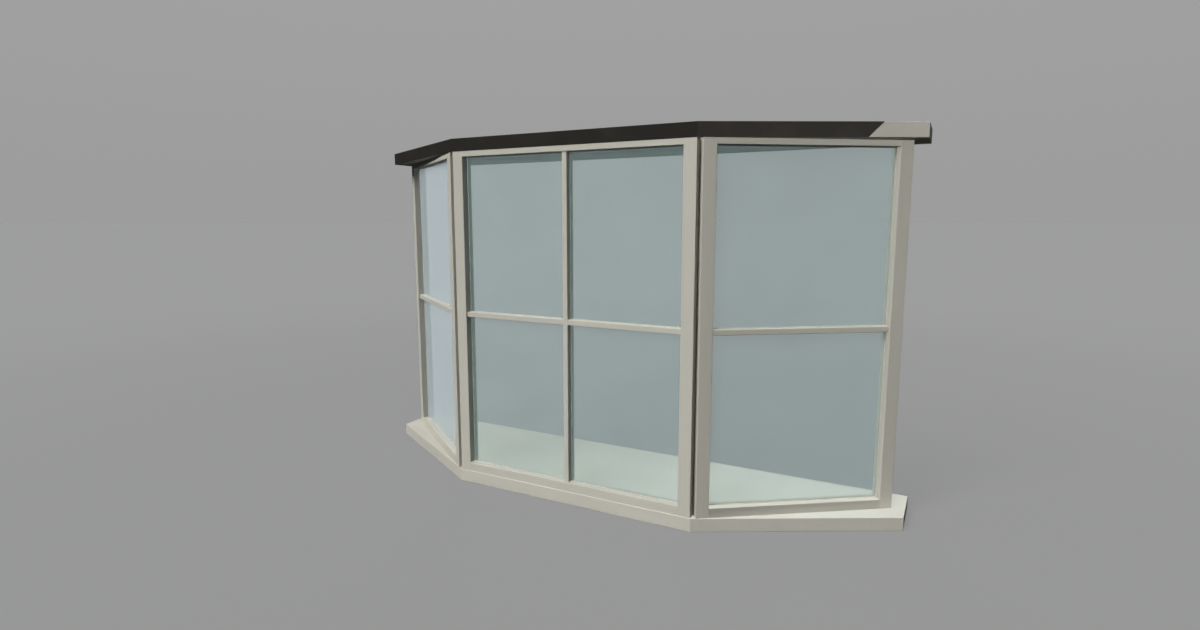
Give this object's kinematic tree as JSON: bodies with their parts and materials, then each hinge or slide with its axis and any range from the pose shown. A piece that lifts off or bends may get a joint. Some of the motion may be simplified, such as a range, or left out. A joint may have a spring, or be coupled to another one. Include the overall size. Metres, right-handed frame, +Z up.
{
  "type": "three-sided canted bay window",
  "caption": "Canted bay window unit: a centre frame and two angled side frames with glazing bars, between a seat board and a head board with a dark fascia strip, open at the back to the wall.",
  "frame": {"origin": "middle of the underside of the seat board, at the centre of the whole unit's box", "axes": "+Z up, -Y towards the street, +Y towards the building wall, X along the wall"},
  "size_m": [2.696, 0.657, 1.616],
  "materials": {
    "frame_paint": "satin warm light grey paint on timber",
    "board_paint": "satin warm light grey paint on timber boards",
    "fascia_metal": "dark bronze powder coat, matt",
    "pane_glass": "clear double glazing with a faint blue-green tint"
  },
  "bodies": {
    "root": {"centre_left_stile": "frame_paint", "centre_right_stile": "frame_paint", "centre_head_rail": "frame_paint", "centre_bottom_rail": "frame_paint", "centre_upright_bar": "frame_paint", "centre_left_cross_bar": "frame_paint", "centre_right_cross_bar": "frame_paint", "left_corner_stile": "frame_paint", "left_wall_stile": "frame_paint", "left_head_rail": "frame_paint", "left_bottom_rail": "frame_paint", "left_cross_bar": "frame_paint", "right_corner_stile": "frame_paint", "right_wall_stile": "frame_paint", "right_head_rail": "frame_paint", "right_bottom_rail": "frame_paint", "right_cross_bar": "frame_paint", "centre_left_lower_bead": "frame_paint", "centre_left_upper_bead": "frame_paint", "centre_right_lower_bead": "frame_paint", "centre_right_upper_bead": "frame_paint", "left_lower_bead": "frame_paint", "left_upper_bead": "frame_paint", "right_lower_bead": "frame_paint", "right_upper_bead": "frame_paint", "seat_board": "board_paint", "head_board": "board_paint", "head_fascia_left": "fascia_metal", "head_fascia_centre": "fascia_metal", "head_fascia_right": "fascia_metal", "centre_left_lower_pane": "pane_glass", "centre_left_upper_pane": "pane_glass", "centre_right_lower_pane": "pane_glass", "centre_right_upper_pane": "pane_glass", "left_lower_pane": "pane_glass", "left_upper_pane": "pane_glass", "right_lower_pane": "pane_glass", "right_upper_pane": "pane_glass"}
  },
  "joints": []
}
